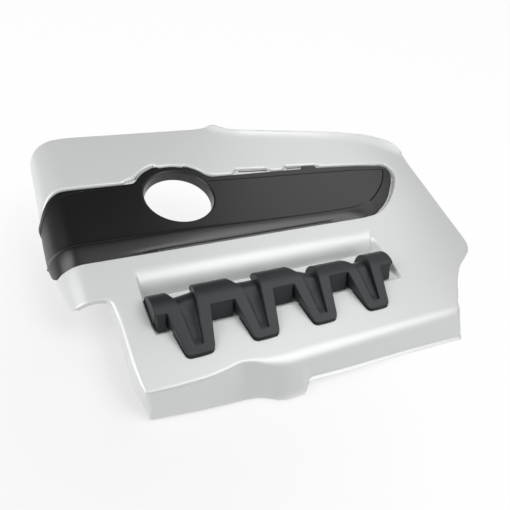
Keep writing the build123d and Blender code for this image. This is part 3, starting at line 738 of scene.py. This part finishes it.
CREST_FORWARD = (2.8, 0.0, 0.0, 0.5, 0.5, 6.4, 6.4, 5.3)
crest_far = math.hypot(crest_y - CHANNEL_Y, crest_z - CHANNEL_Z)
channel_angle = math.atan2(crest_z - CHANNEL_Z, crest_y - CHANNEL_Y) + math.asin(CHANNEL_RADIUS / crest_far)
channel_rise = math.tan(channel_angle)


def along_run(y):
    """Length along the insert's top from the finger tip to a place on its slope."""
    return y / math.cos(RUNNER_RISE)


def profile(run, forward=0.0):
    """Place and outward direction at lengths along the insert's side profile, its crest moved forward."""
    run = np.asarray(run, float)
    forward = np.broadcast_to(forward, len(run))
    start = slope_run - forward / math.cos(RUNNER_RISE)
    turn = np.clip((run - start) / CREST_RADIUS, 0.0, crest_turn)
    angle = RUNNER_RISE - turn
    up = np.stack([-np.sin(angle), np.cos(angle)], 1)
    on_slope = np.stack([run * math.cos(RUNNER_RISE), TIP_HEIGHT + run * math.sin(RUNNER_RISE)], 1)
    centre = np.stack([crest_y - forward, crest_z - forward * math.tan(RUNNER_RISE)], 1)
    past = np.maximum(run - start - CREST_RADIUS * crest_turn, 0.0)[:, None] * np.array([0.0, -1.0])
    return np.where((run > start)[:, None], centre + up * CREST_RADIUS + past, on_slope), up


def lift(flat, sink=0.0):
    """Plate places of points given as x and length along the profile, with their forward and up."""
    spot, up = profile(flat[:, 1], np.interp(flat[:, 0], CREST_PLACES, CREST_FORWARD))
    spot = spot - up * np.broadcast_to(sink, len(flat))[:, None]
    zero = np.zeros(len(flat))
    place = np.stack([flat[:, 0], spot[:, 0], spot[:, 1]], 1)
    return place, np.stack([zero, up[:, 1], -up[:, 0]], 1), np.stack([zero, up[:, 0], up[:, 1]], 1)


def channel_sink(flat):
    """Depth of a channel under the insert's top, square to it."""
    forward = np.interp(flat[:, 0], CREST_PLACES, CREST_FORWARD)
    start = slope_run - forward / math.cos(RUNNER_RISE)
    spot, _ = profile(np.minimum(flat[:, 1], start), forward)
    floor = CHANNEL_Z + channel_rise * (spot[:, 0] - CHANNEL_Y)
    slope_depth = (spot[:, 1] - floor) / (math.cos(RUNNER_RISE) + channel_rise * math.sin(RUNNER_RISE))
    over = ease((flat[:, 1] - start) / 14.0)
    return slope_depth + (CREST_RADIUS - CHANNEL_RADIUS - slope_depth) * over


def finger_half(y):
    return TIP_HALF + SIDE_FLARE * y


def channel_half(y):
    return CHANNEL_HALF + CHANNEL_FLARE * (y - CHANNEL_Y)


def channel_splay(x, run):
    """How much further a channel opens to the left over the crest."""
    return (5.0 if x == FINGERS_X[0] else 9.5) * ease((run - slope_run + 3.0) / 26.0)


face_runs, channel_run = [along_run(y) for y in FACE_TOP_Y], along_run(CHANNEL_Y)
insert_runs = []
for k, x in enumerate(FINGERS_X):
    corners = []
    for face_run, face_y in zip(face_runs[k : k + 2], FACE_TOP_Y[k : k + 2]):
        half = finger_half(face_y)
        corners.append([(half + 1.5, face_run), (half + 0.3, face_run - 0.5), (half - 0.4, face_run - 2.2)])
    left_corner = [(x - px, run) for px, run in corners[0]]
    right_corner = [(x + px, run) for px, run in corners[1][::-1]]
    left_tip = [(x - TIP_HALF - 0.5, 5.5), (x - TIP_HALF + 0.6, 2.2), (x - TIP_HALF + 3.6, 0.6)]
    left_tip += [(x - 7.0, 0.2), (x, 0.0)]
    right_tip = [(2 * x - px, py) for px, py in left_tip[::-1]]
    insert_runs += [
        ("face", 2.0, left_corner[:1]),
        ("side", 0.8, left_corner[1:]),
        ("side", 2.5, left_tip[:1]),
        ("tip", 1.0, left_tip[1:]),
        ("tip", 1.0, right_tip[1:]),
        ("side", 2.5, right_corner[:1]),
        ("side", 0.8, right_corner[1:]),
    ]
end_x, face_run = INSERT_X[1], face_runs[-1]
end_corner = [(end_x - 1.5, face_run), (end_x - 0.4, face_run + 0.5), (end_x, face_run + 1.8)]
insert_runs += [("face", 2.0, end_corner[:1]), ("end", 0.8, end_corner[1:])]
insert_runs += [("end", 2.5, [(end_x, back_run)])]
crest_half, back_half = channel_half(CREST_START), channel_half(crest_y + CREST_RADIUS)
splay_runs = np.linspace(slope_run - 6.0, back_run, 9)
halves = [CHANNEL_HALF, crest_half, back_half]
opening_half = np.interp(splay_runs, [channel_run, slope_run, back_run], halves)
for x in FINGERS_X[::-1]:
    rim = x + CHANNEL_HALF
    right_corner = [(rim + 0.3, channel_run + 2.4), (rim - 0.5, channel_run + 0.6), (rim - 2.4, channel_run)]
    left_corner = [(2 * x - px, py) for px, py in right_corner[::-1]]
    splayed = [(x - half - channel_splay(x, run), run) for half, run in zip(opening_half, splay_runs)]
    insert_runs += [
        ("back", 3.0, [(x + back_half, back_run)]),
        ("channel", 2.5, [(x + crest_half, slope_run)]),
        ("channel", 2.5, right_corner[:1]),
        ("channel", 0.8, right_corner[1:]),
        ("channel", 2.0, left_corner[:1]),
        ("channel", 0.8, left_corner[1:]),
        ("channel", 2.5, splayed[:1]),
        ("channel", 2.5, splayed[1:]),
    ]
end_x, face_run = INSERT_X[0], face_runs[0]
end_corner = [(end_x, face_run + 1.8), (end_x + 0.4, face_run + 0.5), (end_x + 1.5, face_run)]
insert_runs += [("back", 3.0, [(end_x, back_run)])]
insert_runs += [("end", 2.5, end_corner[:1]), ("end", 0.8, end_corner[1:])]
insert_edge, insert_names = trace(insert_runs)
insert_grid = grid_of(np.arange(-210, 114, 4.0), np.arange(2, back_run, 3.5))
support = insert_edge - outward(insert_edge) * 1.4
flat, faces, rings = fill([insert_edge], np.concatenate([insert_grid, support]), 0.9)
place, ahead, up = lift(flat)
insert = Moulding()
ids = insert.add(place, faces)
ring = rings[0]
away = outward(insert_edge)
side = np.array([1.0, 0.0, 0.0]) * away[:, :1] + ahead[ring] * away[:, 1:]
top = place[ring]
recess_floor = -RECESS_STEP - np.clip(top[:, 1] - RECESS_Y[0], 0.0, 64.0) * math.tan(floor_angle)
on_plate = np.where(top[:, 1] > RECESS_Y[0] + 1.0, recess_floor, -0.2)
foot = top.copy()
for name in ("tip", "side", "end", "back"):
    picked = insert_names == name
    foot[picked, 2] = on_plate[picked]
    draft = FOOT_DRAFT * (top[picked, 2] - foot[picked, 2])
    foot[picked] += side[picked] * np.array([1.0, 1.0, 0.0]) * draft[:, None]
foot[insert_names == "side", 2] = np.maximum(foot[insert_names == "side", 2], SIDE_FOOT)
in_gap = np.isin(insert_names, ("tip", "side")) & (top[:, 1] < 31.5)
foot[in_gap, 2] = GAP_FOOT
picked = insert_names == "face"
foot[picked, 1:] = (FACE_FOOT_Y - 0.6, SIDE_FOOT)
picked = insert_names == "channel"
sink = channel_sink(insert_edge)
foot[picked] = (top - up[ring] * sink[:, None] + side * (CHANNEL_DRAFT * sink)[:, None])[picked]
down = foot - top
across = (down * side).sum(1)
below = down - side * across[:, None]
fall = np.linalg.norm(below, axis=1)
edge_radius = np.where(insert_names == "channel", 0.9, 1.3)
edge_radius = np.where(insert_names == "tip", 0.9, np.minimum(edge_radius, 0.45 * fall))
ledge = np.where(in_gap, GAP_LEDGE, 0.02)
insert.edge(ids[ring], rolled_edge(top, side, -below / fall[:, None], edge_radius, across, fall, ledge))
up_slope = np.linspace(channel_run - 0.3, slope_run, 22)
runs = np.concatenate([up_slope, np.linspace(slope_run + 2.4, back_run, 16)])
half = channel_half(profile(runs)[0][:, 0]) + 0.4
bow = CHANNEL_BOW * half * ease((runs - channel_run) / 10.0)
bow *= 1.0 - 0.9 * ease((runs - slope_run + 16.0) / 22.0)
bow = np.outer(bow, 1.0 - np.linspace(-1.0, 1.0, CHANNEL_STEPS) ** 2)
starts = [r * CHANNEL_STEPS + c for r in range(len(runs) - 1) for c in range(CHANNEL_STEPS - 1)]
strip = [(i, i + 1, i + CHANNEL_STEPS + 1, i + CHANNEL_STEPS) for i in starts]
for x in FINGERS_X:
    side_to_side = np.linspace(-half - channel_splay(x, runs), half, CHANNEL_STEPS, axis=1)
    floor_flat = np.stack([x + side_to_side, np.repeat(runs[:, None], CHANNEL_STEPS, 1)], 2).reshape(-1, 2)
    floor_place, _, _ = lift(floor_flat, channel_sink(floor_flat) + bow.ravel())
    insert.add(floor_place, strip)
black_insert, nodes, links, shader = principled("black_insert", (0.014, 0.0162, 0.018), 0.46)
shader.inputs["Specular Tint"].default_value = (0.92, 0.99, 1.0, 1.0)
shader.inputs["Sheen Weight"].default_value = 0.22
shader.inputs["Sheen Roughness"].default_value = 0.35
uneven(nodes, links, shader, 900.0, 4.0, 0.42, 0.52)
grain(nodes, links, shader, 1800.0, 0.00004)
runner_insert = insert.piece("runner_insert_moulding", "black_insert", black_insert)
thicken(runner_insert, INSERT_WALL)
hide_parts("runner_insert")
PEG_Y = 66.0
peg_floor = -RECESS_STEP - (PEG_Y - RECESS_Y[0]) * math.tan(floor_angle)
swing_cos, swing_sin = math.cos(floor_angle), math.sin(floor_angle)
insert_pegs = Moulding()
for x in FINGERS_X:
    tipped_y = peg[:, 1] * swing_cos + peg[:, 2] * swing_sin
    tipped_z = peg[:, 2] * swing_cos - peg[:, 1] * swing_sin
    insert_pegs.add(np.stack([peg[:, 0] + x, tipped_y + PEG_Y, tipped_z + peg_floor], 1), peg_faces)
insert_pegs.piece("insert_pegs", "black_insert", black_insert)

# The ribs are thin webs moulded in one with the shell. They stiffen the plate behind the trim from below, and
# each has its lower corners cut off. Two low fences of the same moulding follow the arch of the bed.
RIB_X, RIB_HALF = (-250.0, -110.0, 60.0, 150.0), 1.25
RIB_START, RIB_ARCH_START, RIB_END = 282.0, 297.0, 330.0
FENCE_TOP, FENCE_DEPTH = -1.1, 4.0
ribs = Moulding()
rib_line = np.array([(0.0, -2.6), (1.0, -2.6), (1.0, -8.5), (0.92, -12.0), (0.08, -12.0), (0.0, -8.5)])
for x in RIB_X:
    rib_start = RIB_ARCH_START if abs(x - HOLE_X) < 60.0 else RIB_START
    web = np.stack([rib_start + (RIB_END - rib_start) * rib_line[:, 0], rib_line[:, 1]], 1)
    draft = np.where(web[:, 1] < -5.0, 0.75, 1.0) * RIB_HALF
    sides = [np.stack([x + way * draft, web[:, 0], web[:, 1]], 1) for way in (-1, 1)]
    ribs.add(*prism(*sides))
for outline in fences:
    upper = at_height(outline, FENCE_TOP)
    fence, fence_faces = prism(upper, upper - np.array([0.0, 0.0, FENCE_DEPTH]))
    n = len(outline)
    fence_faces[:1] = [(i, i + 1, n - 2 - i, n - 1 - i) for i in range(n // 2 - 1)]
    ribs.add(fence, fence_faces)
ribs.piece("shell_ribs", "silver_paint", silver_paint)

# Stud posts, sockets and push nuts stay as the solid model has them: grey plastic posts under the plate,
# black rubber sockets pressed into them, and stamped spring-steel nuts on the pegs.
grey_plastic, nodes, links, shader = principled("grey_plastic", (0.16, 0.165, 0.165), 0.5)
uneven(nodes, links, shader, 500.0, 4.0, 0.44, 0.6)
grain(nodes, links, shader, 1600.0, 0.00003)
rubber, nodes, links, shader = principled("rubber", (0.018, 0.018, 0.018), 0.75)
uneven(nodes, links, shader, 420.0, 5.0, 0.66, 0.86)
grain(nodes, links, shader, 2200.0, 0.00005)
steel, nodes, links, shader = principled("spring_steel", (0.46, 0.47, 0.48), 0.34)
shader.inputs["Metallic"].default_value = 1.0
uneven(nodes, links, shader, 900.0, 4.0, 0.26, 0.46)
grain(nodes, links, shader, 1200.0, 0.00001)
finishes = {"stud_post": grey_plastic, "stud_socket": rubber}
finishes.update({"trim_push_nut": steel, "insert_push_nut": steel})
for name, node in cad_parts.items():
    for start, finish in finishes.items():
        if name.startswith(start):
            node.data.materials.clear()
            node.data.materials.append(finish)

# The absorber pads are blocks of open-cell foam stuck under the plate. They are cut oversize, so their faces
# crown a little and their edges are pulled in round.
foam, nodes, links, shader = principled("foam", (0.035, 0.035, 0.037), 0.95)
pores = uneven(nodes, links, shader, 650.0, 5.0, 0.85, 1.0)
two_tone(nodes, links, shader, pores, (0.018, 0.018, 0.019), (0.06, 0.06, 0.063))
grain(nodes, links, shader, 900.0, 0.0006)
PAD_THICK, PAD_CORNER, PAD_ROUND, PAD_CROWN = 14.0, 7.0, 3.5, 1.4
# Left, right, front and back on the plate, and the height where the pad is stuck on
PADS = {
    "centre": (-15.0, 138.0, 175.0, 240.0, -7.0),
    "front": (-110.0, 25.0, -18.0, 26.0, -3.0),
    "rear": (-48.0, 48.0, 285.0, 345.0, -3.0),
}


def foam_block(x0, x1, y0, y1, top):
    """One pad: flat where it is stuck on, sides drawn in, lower face crowned and its edge rounded."""
    low, high = (x0 + PAD_CORNER, y0 + PAD_CORNER), (x1 - PAD_CORNER, y1 - PAD_CORNER)
    centres = [(high[0], low[1], -90), high + (0,), (low[0], high[1], 90), low + (180,)]
    arcs = [round_line((x, y), PAD_CORNER, a, a + 90, 1.5) for x, y, a in centres]
    runs = []
    for k, arc in enumerate(arcs):
        runs += [("corner", 1.5, arc[1:]), ("side", 4.0, arcs[(k + 1) % 4][:1])]
    outline, names = trace(runs)
    inward = -outward(outline)
    ripple = 0.18 * np.sin(0.21 * outline[:, 0] + 0.6) * np.cos(0.17 * outline[:, 1])
    pull = np.where(names == "side", 0.7, 0.2) + ripple
    under = PAD_THICK - PAD_CROWN
    levels = [(0.6, 0.0), (0.1, 1.0), (0.7, 0.35 * under), (0.9, 0.6 * under), (0.5, under - PAD_ROUND)]
    for k in range(1, 6):
        turn = math.radians(18.0 * k)
        levels.append((0.5 + PAD_ROUND * (1 - math.cos(turn)), under - PAD_ROUND * (1 - math.sin(turn))))
    rings = []
    for inset, drop in levels:
        flat = outline + inward * (inset * np.clip(pull / 0.7, 0.6, 1.2))[:, None]
        rings.append(at_height(flat, top - drop))
    pad = Moulding()
    grid = grid_of(np.arange(x0, x1, 5.0), np.arange(y0, y1, 5.0))
    flat, faces, edge = fill([rings[0][:, :2]], grid, 2.0)
    ids = pad.add(at_height(flat, top), faces)
    pad.edge(ids[edge[0]], rings[1:])
    flat, faces, edge = fill([rings[-1][:, :2]], grid, 2.0)
    across_x = np.abs(2 * flat[:, 0] - x0 - x1) / (x1 - x0)
    across_y = np.abs(2 * flat[:, 1] - y0 - y1) / (y1 - y0)
    across = np.maximum(across_x, across_y)
    swell = PAD_CROWN * (1.0 - across**4) + 0.25 * np.sin(0.33 * flat[:, 0]) * np.sin(0.29 * flat[:, 1])
    swell[edge[0]] = 0.0
    pad.add(np.concatenate([flat, (top - under - np.maximum(swell, 0.0))[:, None]], 1), faces[:, ::-1])
    return pad


for name, (x0, x1, y0, y1, top) in PADS.items():
    block = foam_block(x0, x1, y0, y1, top).piece(f"absorber_pad_{name}_foam", "foam", foam)
    weld = block.modifiers.new("weld", "WELD")
    weld.merge_threshold = 0.00002
    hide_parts(f"absorber_pad_{name}")

# Camera, floor and light: a white table with a ring of large softboxes over it, seen from the front left. The
# table also glows for the camera and in reflections. The surroundings are white to the camera only.
CAMERA = np.array([[-339.28, -233.98, 492.28]])
VIEW = np.array([[0.89103, -0.38879, 0.23433], [0.16437, 0.75751, 0.63179], [-0.42314, -0.52443, 0.73887]])
tip = np.array([[1, 0, 0], [0, math.cos(SLOPE), -math.sin(SLOPE)], [0, math.sin(SLOPE), math.cos(SLOPE)]])
axes = VIEW @ tip.T
camera = bpy.data.objects.new("camera", bpy.data.cameras.new("camera"))
SENSOR, FOCAL_PIXELS, PICTURE_PIXELS = 36.0, 520.0, 510.0
camera.data.sensor_width = SENSOR
camera.data.lens = SENSOR * FOCAL_PIXELS / PICTURE_PIXELS
camera.data.clip_end = 20.0
pose = Matrix(axes.T.tolist()).to_4x4()
pose.translation = Vector(seat(CAMERA)[0])
camera.matrix_world = pose
bpy.context.scene.collection.objects.link(camera)
bpy.context.scene.camera = camera

world = bpy.data.worlds.new("studio")
bpy.context.scene.world = world
world.use_nodes = True
nodes, links = world.node_tree.nodes, world.node_tree.links
nodes["Background"].inputs["Color"].default_value = (1.0, 1.0, 1.0, 1.0)
path = nodes.new("ShaderNodeLightPath")
where = nodes.new("ShaderNodeTexCoord")
split = nodes.new("ShaderNodeSeparateXYZ")
links.new(where.outputs["Generated"], split.inputs["Vector"])
sweep = nodes.new("ShaderNodeMapRange")
sweep.inputs["From Max"].default_value = 0.42
sweep.inputs["To Min"].default_value = 0.45
sweep.inputs["To Max"].default_value = 0.04
links.new(split.outputs["Z"], sweep.inputs["Value"])
dim = nodes.new("ShaderNodeMapRange")
links.new(sweep.outputs["Result"], dim.inputs["To Min"])
links.new(path.outputs["Is Camera Ray"], dim.inputs["Value"])
links.new(dim.outputs["Result"], nodes["Background"].inputs["Strength"])
LAMP_GAP, LAMP_AIM = 1.7, Vector((0.0, 0.0, 0.05))
# Turn and height in degrees, size in metres and power in watts
LAMPS = {
    "right_front": (-38, 59, 1.2, 12.9),
    "right": (0, 50, 1.2, 1.0),
    "right_back": (40, 42, 1.0, 3.0),
    "overhead": (0, 89, 1.2, 3.3),
    "left": (180, 36, 1.2, 16.4),
    "front": (-52, 20, 1.2, 2.2),
}
for name, (turn, height, size, watts) in LAMPS.items():
    softbox = bpy.data.lights.new(name, "AREA")
    softbox.size = size
    softbox.energy = watts
    lamp = bpy.data.objects.new(name, softbox)
    turn, height = math.radians(turn), math.radians(height)
    level = LAMP_GAP * math.cos(height)
    toward = Vector((level * math.cos(turn), level * math.sin(turn), LAMP_GAP * math.sin(height)))
    lamp.location = LAMP_AIM + toward
    lamp.rotation_euler = toward.to_track_quat("Z", "Y").to_euler()
    bpy.context.scene.collection.objects.link(lamp)

TABLE_HALF, TABLE_TOP = 6.0, -0.0005
table_corners = ((-1, -1), (1, -1), (1, 1), (-1, 1))
table_points = [(x * TABLE_HALF, y * TABLE_HALF, TABLE_TOP) for x, y in table_corners]
floor_mesh = bpy.data.meshes.new("table")
floor_mesh.from_pydata(table_points, [], [(0, 1, 2, 3)])
table, nodes, links, shader = principled("white_table", (0.93, 0.93, 0.925), 0.6)
path = nodes.new("ShaderNodeLightPath")
seen = nodes.new("ShaderNodeMath")
links.new(path.outputs["Is Camera Ray"], seen.inputs[0])
links.new(path.outputs["Is Glossy Ray"], seen.inputs[1])
through = nodes.new("ShaderNodeMath")
links.new(seen.outputs["Value"], through.inputs[0])
links.new(path.outputs["Is Transmission Ray"], through.inputs[1])
where = nodes.new("ShaderNodeTexCoord")
offset = nodes.new("ShaderNodeVectorMath")
offset.operation = "DISTANCE"
offset.inputs[1].default_value = (-0.27, -0.14, 0.0)
links.new(where.outputs["Object"], offset.inputs[0])
near = nodes.new("ShaderNodeMapRange")
near.inputs["From Min"].default_value = 0.08
near.inputs["From Max"].default_value = 0.38
near.inputs["To Min"].default_value = 0.5
near.inputs["To Max"].default_value = 0.97
links.new(offset.outputs["Value"], near.inputs["Value"])
share = nodes.new("ShaderNodeMath")
share.operation = "MULTIPLY"
links.new(near.outputs["Result"], share.inputs[1])
links.new(through.outputs["Value"], share.inputs[0])
glow = nodes.new("ShaderNodeEmission")
blend = nodes.new("ShaderNodeMixShader")
links.new(share.outputs["Value"], blend.inputs["Fac"])
links.new(shader.outputs["BSDF"], blend.inputs[1])
links.new(glow.outputs["Emission"], blend.inputs[2])
links.new(blend.outputs["Shader"], nodes["Material Output"].inputs["Surface"])
floor_mesh.materials.append(table)
floor = bpy.data.objects.new("table", floor_mesh)
bpy.context.scene.collection.objects.link(floor)
bpy.context.scene.view_settings.view_transform = "Standard"
